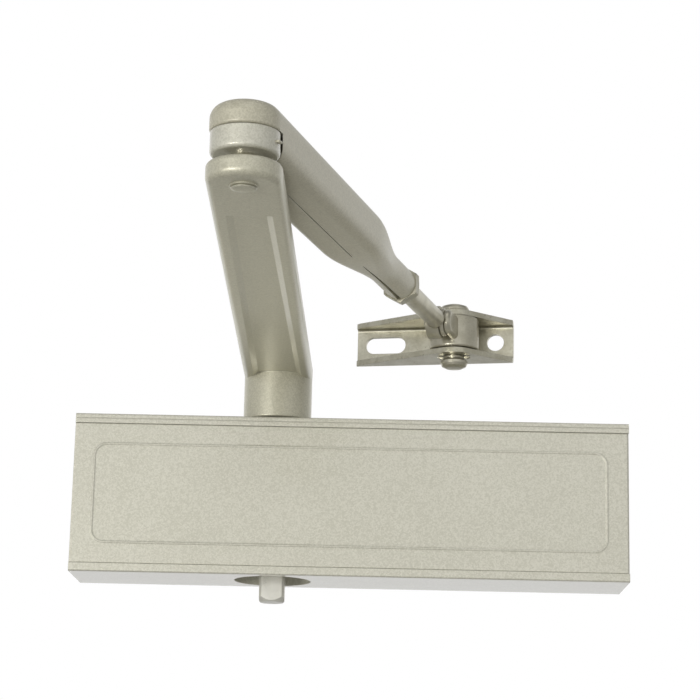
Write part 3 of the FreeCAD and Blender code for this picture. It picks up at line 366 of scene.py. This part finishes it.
@dataclass(frozen=True)
class PlatedSteel:
    """Zinc plated steel: yellowish cast, faint clouds, drawn lines and a painted highlight on the edges."""

    name: str = "zinc_plated_steel"
    light: Colour = hue(206, 203, 186)
    dark: Colour = hue(182, 178, 158)
    # Painted highlight: the colour that the sharp edges are lightened towards.
    edge: Colour = hue(232, 231, 222)
    lines: Triple = (1.0, 1.0, 1.0)
    turn: float = 0.0
    line_mm: float = 1.0
    relief_mm: float = 0.002
    roughness: float = 0.30
    metal: float = 0.85
    edge_mm: float = 0.22
    thread_end_mm: float = 0.0
    thread_pitch_mm: float = 1.25
    thread_depth_mm: float = 0.35
    runout_mm: float = 0.6

    def thread(self, shader: Shader) -> Signal:
        """Screw thread round the rod, up to a distance from the elbow pin.

        Args:
            shader: The finish that it is written in.

        Returns:
            Its height, 0 to 1.
        """
        start = shader.node("ShaderNodeVectorMath", {"operation": "SUBTRACT"},
                            {0: shader.place(), 1: ELBOW_AXIS})
        along_x, along_y, height = (
            shader.node("ShaderNodeSeparateXYZ", {}, {0: start}, name) for name in "XYZ"
        )
        lean = math.radians(self.turn)
        run = (along_x * math.sin(lean) + along_y * math.cos(lean)) * (1 / MM)
        side = along_x * math.cos(lean) - along_y * math.sin(lean)
        wrap = height.math("ARCTAN2", side) * (1 / math.tau)
        ridge = (run * (1 / self.thread_pitch_mm) + wrap).math("PINGPONG", 0.5) * 2.0
        return ridge * (1.0 - run.between(self.thread_end_mm, self.thread_end_mm + self.runout_mm))

    def build(self) -> bpy.types.Material:
        """Write the finish.

        Returns:
            Its material.
        """
        shader = Shader.named(self.name)
        clouds = shader.noise(7.0, 4.0, 0.6)
        spots = shader.noise(1.1, 3.0, 0.6)
        drawn = shader.noise(self.line_mm, 3.0, 0.6, shader.stretched(self.lines, self.turn))
        rounded = shader.rounded(self.edge_mm)
        edges = shader.edges(rounded)
        tone = clouds * 0.62 + spots * 0.08 + drawn * 0.30
        base = shader.blend(tone.between(0.36, 0.64), self.dark, self.light)
        # Painted highlight: the sharp edges are mixed halfway towards the light edge colour.
        base = shader.blend(edges * 0.5, base, self.edge)
        rough = self.roughness + (spots - 0.5) * 0.06 + (drawn - 0.5) * 0.12 - edges * 0.04
        normal = shader.bump(drawn, self.relief_mm, rounded)
        normal = shader.bump(spots, self.relief_mm, normal)
        if self.thread_end_mm:
            normal = shader.bump(self.thread(shader), self.thread_depth_mm, normal)
        return shader.surface(Base_Color=base, Metallic=self.metal, Roughness=rough, Normal=normal)


@dataclass(frozen=True)
class TurnedSteel:
    """Bare machined steel with fine turning marks and a film of oil."""

    name: str = "turned_steel"
    light: Colour = hue(236, 235, 226)
    dark: Colour = hue(218, 216, 205)
    edge: Colour = hue(226, 225, 220)
    edge_mm: float = 0.25
    relief_mm: float = 0.004
    roughness: float = 0.30
    metal: float = 0.55

    def build(self) -> bpy.types.Material:
        """Write the finish.

        Returns:
            Its material.
        """
        shader = Shader.named(self.name)
        marks = shader.noise(0.35, 2.0, 0.5, shader.stretched((1.0, 1.0, 6.0)))
        oil = shader.noise(9.0, 3.0)
        rounded = shader.rounded(self.edge_mm)
        edges = shader.edges(rounded)
        base = shader.blend((marks * 0.4 + oil * 0.6).between(0.35, 0.65), self.dark, self.light)
        base = shader.blend(edges * 0.7, base, self.edge)
        rough = self.roughness + (marks - 0.5) * 0.12 + (oil - 0.5) * 0.10
        return shader.surface(Base_Color=base, Metallic=self.metal, Roughness=rough,
                              Normal=shader.bump(marks, self.relief_mm, rounded))


@dataclass(frozen=True)
class DarkSteel:
    """Phosphated steel: near black, matt, rubbed bright along its edges."""

    name: str = "phosphated_steel"
    light: Colour = hue(84, 83, 78)
    dark: Colour = hue(46, 46, 44)
    edge: Colour = hue(150, 148, 140)
    crystal_mm: float = 0.25
    edge_mm: float = 0.3
    relief_mm: float = 0.012
    roughness: float = 0.55
    metal: float = 0.6

    def build(self) -> bpy.types.Material:
        """Write the finish.

        Returns:
            Its material.
        """
        shader = Shader.named(self.name)
        crystals = shader.flakes(self.crystal_mm)
        clouds = shader.noise(5.0, 4.0)
        rounded = shader.rounded(self.edge_mm)
        edges = shader.edges(rounded)
        tone = crystals * 0.35 + clouds * 0.65
        base = shader.blend(tone.between(0.3, 0.7), self.dark, self.light)
        base = shader.blend(edges * 0.6, base, self.edge)
        rough = self.roughness + (crystals - 0.5) * 0.2 - edges * 0.15
        return shader.surface(Base_Color=base, Metallic=self.metal, Roughness=rough,
                              Normal=shader.bump(crystals, self.relief_mm, rounded))


@dataclass(frozen=True)
class OilRubber:
    """Black moulded rubber with a faint bloom."""

    name: str = "black_rubber"
    light: Colour = hue(52, 52, 50)
    dark: Colour = hue(30, 30, 30)
    relief_mm: float = 0.01
    roughness: float = 0.62

    def build(self) -> bpy.types.Material:
        """Write the finish.

        Returns:
            Its material.
        """
        shader = Shader.named(self.name)
        bloom = shader.noise(3.0, 4.0)
        pores = shader.noise(0.3, 2.0)
        base = shader.blend(bloom.between(0.35, 0.75), self.dark, self.light)
        return shader.surface(Base_Color=base, Roughness=self.roughness + bloom * 0.15,
                              Normal=shader.bump(pores, self.relief_mm))


@dataclass(frozen=True)
class BearingBronze:
    """Sintered bronze with open pores."""

    name: str = "bearing_bronze"
    light: Colour = hue(176, 136, 84)
    dark: Colour = hue(120, 88, 52)
    pore_mm: float = 0.3
    edge_mm: float = 0.25
    relief_mm: float = 0.01
    roughness: float = 0.38
    metal: float = 0.9

    def build(self) -> bpy.types.Material:
        """Write the finish.

        Returns:
            Its material.
        """
        shader = Shader.named(self.name)
        pores = shader.flakes(self.pore_mm)
        clouds = shader.noise(4.0, 3.0)
        base = shader.blend((pores * 0.4 + clouds * 0.6).between(0.3, 0.7), self.dark, self.light)
        return shader.surface(Base_Color=base, Metallic=self.metal, Roughness=self.roughness + pores * 0.15,
                              Normal=shader.bump(pores, self.relief_mm, shader.rounded(self.edge_mm)))


class Finish(Enum):
    """The finishes of this closer, by the part of it that they cover."""

    BODY = FlakePaint(film=0.85, film_roughness=0.10)
    # ARM is the body's silver paint with darker colours as painted shade, because the arm stands in less
    # light; its cast texture is real.
    ARM = FlakePaint(
        name="silver_flake_enamel_arm", light=hue(206, 203, 184), dark=hue(189, 186, 166),
        cast_mm=2.4, flake_mm=0.5, peel_depth_mm=0.014, metal=0.40, roughness=0.38, film=0.40,
    )
    # SHELL is the body's silver paint again, with colours darker still as painted shade on the forearm.
    SHELL = FlakePaint(
        name="silver_flake_enamel_shell", light=hue(202, 198, 179), dark=hue(184, 180, 160),
        flake_mm=0.5, metal=0.25, roughness=0.42, film=0.20,
    )
    BRACKET = PlatedSteel(lines=(1.0, 0.12, 1.0), turn=11.0)
    SHAFT = PlatedSteel(
        name="zinc_plated_shaft", light=hue(196, 192, 174), dark=hue(172, 168, 148),
        lines=(1.0, 0.10, 1.0), turn=16.1, line_mm=1.6, roughness=0.32, thread_end_mm=186.0,
    )
    FITTING = PlatedSteel(
        name="zinc_plated_fitting", light=hue(198, 194, 177), dark=hue(176, 172, 153),
        lines=(1.0, 1.0, 5.0), line_mm=1.2,
    )
    TURNED = TurnedSteel()
    DARK = DarkSteel()
    RUBBER = OilRubber()
    BRONZE = BearingBronze()


class Palette:
    """Builds each finish once and puts it on pieces."""

    def __init__(self) -> None:
        """Start with nothing built."""
        self.built: dict[Finish, bpy.types.Material] = {}

    def dress(self, finish: Finish, *pieces: bpy.types.Object) -> None:
        """Give pieces a finish in place of what they have.

        Args:
            finish: The finish.
            pieces: The pieces that it goes on.
        """
        if finish not in self.built:
            self.built[finish] = finish.value.build()
        for piece in pieces:
            if not piece.material_slots:
                piece.data.materials.append(self.built[finish])
            for place in piece.material_slots:
                place.material = self.built[finish]

    def dress_nodes(self, finish: Finish, *names: str) -> None:
        """Give modelled parts a finish.

        Args:
            finish: The finish.
            names: The parts' names.
        """
        self.dress(finish, *(frame["nodes"][name] for name in names))
        LOG.info("%s on %s", finish.name, ", ".join(names))


# ---------------------------------------------------------------- studio
@dataclass(frozen=True)
class Lamp:
    """Soft rectangular light that points at a place. Metres and watts."""

    name: str
    place: Triple
    target: Triple
    size: tuple[float, float]
    power: float
    tint: Colour = (1.0, 0.99, 0.96)

    def build(self) -> None:
        """Add the light to the scene."""
        data = bpy.data.lights.new(self.name, "AREA")
        data.shape = "RECTANGLE"
        data.size, data.size_y = self.size
        data.energy = self.power
        data.color = self.tint
        lamp = bpy.data.objects.new(self.name, data)
        bpy.context.scene.collection.objects.link(lamp)
        lamp.location = self.place
        aim = Vector(self.target) - Vector(self.place)
        lamp.rotation_euler = aim.to_track_quat("-Z", "Y").to_euler()


@dataclass
class Studio:
    """Camera, pale floor and soft lights. Metres and degrees, with the lens in millimetres."""

    eye: Triple = (0.009186, -0.911509, -0.148514)
    pitch: float = 13.590
    yaw: float = -0.705
    roll: float = 1.314
    lens: float = 110.01
    sensor: float = 36.0
    nearest: float = 0.01
    farthest: float = 50.0
    floor_below: float = 0.75
    floor_radius: float = 4.5
    lamps: tuple[Lamp, ...] = (
        Lamp("key_light", (-2.3, -3.6, -0.55), (0, 0, 0), (1.7, 0.45), 60.0),
        Lamp("low_light", (-0.6, -2.2, -0.62), (0, 0, 0), (1.3, 0.20), 3.5),
        Lamp("top_light", (0.3, -0.9, 1.6), (0, -0.1, 0), (1.4, 1.0), 3.0, (1.0, 1.0, 1.0)),
    )
    surround: float = 0.52
    back_glow: float = 0.60
    front_glow: float = 0.30
    dim_above: float = 0.45

    def build(self) -> None:
        """Set up everything that isn't part of the object."""
        self.camera()
        self.floor()
        for lamp in self.lamps:
            lamp.build()
        self.world()
        bpy.context.scene.view_settings.view_transform = "Standard"

    def camera(self) -> None:
        """Camera a little below the body, looking up at it."""
        pitch, yaw, roll = (math.radians(value) for value in (self.pitch, self.yaw, self.roll))
        level = math.cos(pitch)
        ahead = Vector((math.sin(yaw) * level, math.cos(yaw) * level, math.sin(pitch)))
        right = Vector((math.cos(yaw), -math.sin(yaw), 0.0))
        up = right.cross(ahead)
        side = right * math.cos(roll) + up * math.sin(roll)
        top = up * math.cos(roll) - right * math.sin(roll)
        turn = Matrix((side, top, -ahead)).transposed()
        data = bpy.data.cameras.new("studio_camera")
        data.lens = self.lens
        data.sensor_width = self.sensor
        data.clip_start = self.nearest
        data.clip_end = self.farthest
        camera = bpy.data.objects.new("studio_camera", data)
        bpy.context.scene.collection.objects.link(camera)
        camera.matrix_world = Matrix.Translation(self.eye) @ turn.to_4x4()
        bpy.context.scene.camera = camera

    def floor(self) -> None:
        """Round pale floor below the object."""
        low = CAD_BOX[0]
        bpy.ops.mesh.primitive_circle_add(vertices=96, radius=self.floor_radius, fill_type="NGON",
                                          location=(0, 0, low.z - self.floor_below))
        floor = bpy.context.object
        floor.name = "studio_floor"
        shader = Shader.named("studio_floor")
        tone = shader.noise(400.0, 2.0)
        base = shader.blend(tone, hue(212, 211, 208), hue(217, 216, 213))
        floor.data.materials.append(shader.surface(Base_Color=base, Roughness=0.9))

    def world(self) -> None:
        """Surroundings: pure white where they are seen, dimmer overhead and at the sides as light."""
        world = bpy.data.worlds.new("white_room")
        bpy.context.scene.world = world
        shader = Shader(world)
        way = shader.node("ShaderNodeTexCoord", output="Generated")
        height = shader.node("ShaderNodeSeparateXYZ", {}, {0: way}, "Z")
        depth = shader.node("ShaderNodeSeparateXYZ", {}, {0: way}, "Y")
        behind = depth.between(0.35, 0.95) * self.back_glow
        ahead = (depth * -1.0).between(0.35, 0.95) * self.front_glow
        overhead = height.between(0.15, 0.9) * self.dim_above
        level = (self.surround + behind + ahead) * (1.0 - overhead)
        seen = shader.node("ShaderNodeLightPath", output="Is Camera Ray")
        level = level * (1.0 - seen) + seen
        white = (1.0, 1.0, 1.0, 1.0)
        glow = shader.node("ShaderNodeBackground", {}, {"Color": white, "Strength": level})
        shader.node("ShaderNodeOutputWorld", {}, {"Surface": glow})


# ---------------------------------------------------------------- modelling
class Bench:
    """Edit-mode work on one new piece."""

    def __init__(self, name: str) -> None:
        """Name the piece that was just added, and flatten its place into its mesh.

        Args:
            name: Its name.
        """
        self.piece = bpy.context.object
        self.piece.name = name
        self.piece.data.name = name
        bpy.ops.object.transform_apply(location=True, rotation=True, scale=True)

    def pick_faces(self, *directions: Way) -> None:
        """Select only the faces that look one of these ways, and go to edit mode.

        Args:
            directions: Where they look, each a unit vector.
        """
        for item in (*self.piece.data.vertices, *self.piece.data.edges):
            item.select = False
        for face in self.piece.data.polygons:
            face.select = any(face.normal.dot(Vector(way)) > FACING for way in directions)
        bpy.ops.object.mode_set(mode="EDIT")
        bpy.ops.mesh.select_mode(type="FACE")

    def grow(self, move: Way, scale: Triple) -> None:
        """Extrude what is selected, then scale it about its own middle.

        Args:
            move: How far it is pulled out, in metres.
            scale: How much it is scaled along each axis.
        """
        bpy.ops.mesh.extrude_region_move(TRANSFORM_OT_translate={"value": move})
        bpy.ops.transform.resize(value=scale)

    def finish(self, edge_mm: float, segments: int) -> bpy.types.Object:
        """Round the edges, smooth the faces and return the piece.

        Args:
            edge_mm: Radius of the rounding.
            segments: Faces across it.

        Returns:
            The finished piece, deselected.
        """
        bpy.ops.mesh.select_all(action="SELECT")
        bpy.ops.mesh.remove_doubles(threshold=MERGE)
        bpy.ops.mesh.normals_make_consistent(inside=False)
        bpy.ops.object.mode_set(mode="OBJECT")
        bevel = self.piece.modifiers.new("rounding", "BEVEL")
        bevel.width = edge_mm * MM
        bevel.segments = segments
        bevel.limit_method = "ANGLE"
        bpy.ops.object.modifier_apply(modifier=bevel.name)
        bpy.ops.object.shade_smooth_by_angle(angle=SMOOTH_UP_TO)
        bpy.ops.object.select_all(action="DESELECT")
        LOG.info("made %s with %d faces", self.piece.name, len(self.piece.data.polygons))
        return self.piece


# ---------------------------------------------------------------- sub-assemblies
@dataclass
class SubAssembly:
    """Parts that belong together, with the finish of each and the pieces added to them."""

    palette: Palette
    finishes: ClassVar[dict[Finish, tuple[str, ...]]] = {}

    def dress(self) -> None:
        """Put the finishes on the modelled parts."""
        for finish, names in self.finishes.items():
            self.palette.dress_nodes(finish, *names)

    def build(self) -> None:
        """Model what the parts don't have yet, which is nothing on most."""

    def hand_over(self, piece: bpy.types.Object, finish: Finish, body: str) -> None:
        """Finish a new piece and hang it on a moving body.

        Args:
            piece: The new piece.
            finish: Its finish.
            body: The body that it moves with.
        """
        self.palette.dress(finish, piece)
        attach(piece, body)


@dataclass
class ClosedBody(SubAssembly):
    """Housing with its cover, plugs, bearings and valves."""

    finishes: ClassVar[dict[Finish, tuple[str, ...]]] = {
        Finish.BODY: ("housing", "front_cover"),
        Finish.DARK: ("end_plug_left", "end_plug_right", "upper_gland", "lower_gland"),
        Finish.RUBBER: ("plug_seal_left", "plug_seal_right", "upper_seal", "lower_seal"),
        Finish.BRONZE: ("upper_bearing", "lower_bearing"),
        Finish.TURNED: ("closing_valve", "latching_valve", "backcheck_valve",
                        "gallery_ball", "power_screw", "spring_seat"),
    }


@dataclass
class Drive(SubAssembly):
    """Rack piston, spring and spindle."""

    finishes: ClassVar[dict[Finish, tuple[str, ...]]] = {
        Finish.DARK: ("rack_piston", "closer_spring"),
        Finish.RUBBER: ("piston_ring_left", "piston_ring_right"),
        Finish.TURNED: ("check_valve", "check_ball", "pinion_spindle"),
    }


@dataclass
class ArmSet(SubAssembly):
    """Main arm with its screw, and the riveted elbow. Millimetres."""

    finishes: ClassVar[dict[Finish, tuple[str, ...]]] = {
        Finish.ARM: ("main_arm", "elbow_pin"),
        Finish.FITTING: ("arm_washer", "arm_screw", "elbow_spacer"),
    }
    crown_radius: float = 4.1
    crown_height: float = 0.45
    crown_sunk: float = 0.05
    crown_steps: tuple[tuple[float, float], ...] = ((0.45, 0.94), (0.35, 0.78), (0.20, 0.55))
    crown_edge: float = 0.05

    def build(self) -> None:
        """Model the low domed crown that riveting leaves on the pin's lower head."""
        low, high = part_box("elbow_pin")
        middle = ((low.x + high.x) / 2, (low.y + high.y) / 2, low.z + self.crown_sunk * MM)
        bpy.ops.mesh.primitive_circle_add(vertices=64, radius=self.crown_radius * MM, fill_type="NGON",
                                          location=middle)
        bench = Bench("elbow_pin_crown")
        bench.pick_faces((0, 0, 1), (0, 0, -1))
        for share, width in self.crown_steps:
            bench.grow((0, 0, -self.crown_height * MM * share), (width, width, 1))
        self.hand_over(bench.finish(self.crown_edge, 2), Finish.ARM, "arm")


@dataclass
class Forearm(SubAssembly):
    """Eye, folded shell, lock nut and adjusting rod. Millimetres and degrees."""

    finishes: ClassVar[dict[Finish, tuple[str, ...]]] = {
        Finish.SHELL: ("forearm_shell",),
        Finish.BODY: ("elbow_eye",),
        Finish.SHAFT: ("adjusting_rod", "lock_nut", "rod_bush"),
    }
    tongue_angle: float = -22.0
    tongue_reach: float = 11.4
    tongue_level: float = 0.5
    tongue_size: Triple = (1.1, 2.4, 0.7)
    root_length: float = 0.35
    root_taper: float = 0.7
    tongue_edge: float = 0.12

    def build(self) -> None:
        """Model the small tongue of sheet that locks the shell's cut edge against the eye."""
        low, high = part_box("elbow_eye")
        angle = math.radians(self.tongue_angle)
        out = Vector((math.cos(angle), math.sin(angle), 0))
        middle = (
            ELBOW_AXIS[0] + self.tongue_reach * MM * out.x,
            ELBOW_AXIS[1] + self.tongue_reach * MM * out.y,
            low.z + self.tongue_level * (high.z - low.z),
        )
        bpy.ops.mesh.primitive_cube_add(size=MM, location=middle, rotation=(0, 0, angle))
        bpy.ops.transform.resize(value=self.tongue_size)
        bench = Bench("shell_tongue")
        bench.pick_faces(-out)
        bench.grow(-out * self.root_length * MM, (1, self.root_taper, self.root_taper))
        self.hand_over(bench.finish(self.tongue_edge, 3), Finish.SHELL, "forearm")


@dataclass
class FrameEnd(SubAssembly):
    """Knuckle, pivot pins and frame bracket."""

    finishes: ClassVar[dict[Finish, tuple[str, ...]]] = {
        Finish.BRACKET: ("fixing_bracket",),
        Finish.FITTING: ("swivel_knuckle", "eye_washer", "cross_pin", "upper_pivot_pin",
                         "lower_pivot_pin", "pivot_clip"),
    }


def main() -> None:
    """Build the studio and every sub-assembly in order."""
    logging.basicConfig(level=logging.INFO, format="%(name)s: %(message)s")
    bpy.ops.object.select_all(action="DESELECT")
    palette = Palette()
    Studio().build()
    groups = [kind(palette) for kind in (ClosedBody, Drive, ArmSet, Forearm, FrameEnd)]
    for group in groups:
        group.dress()
    for group in groups:
        group.build()


if __name__ == "__main__":
    main()
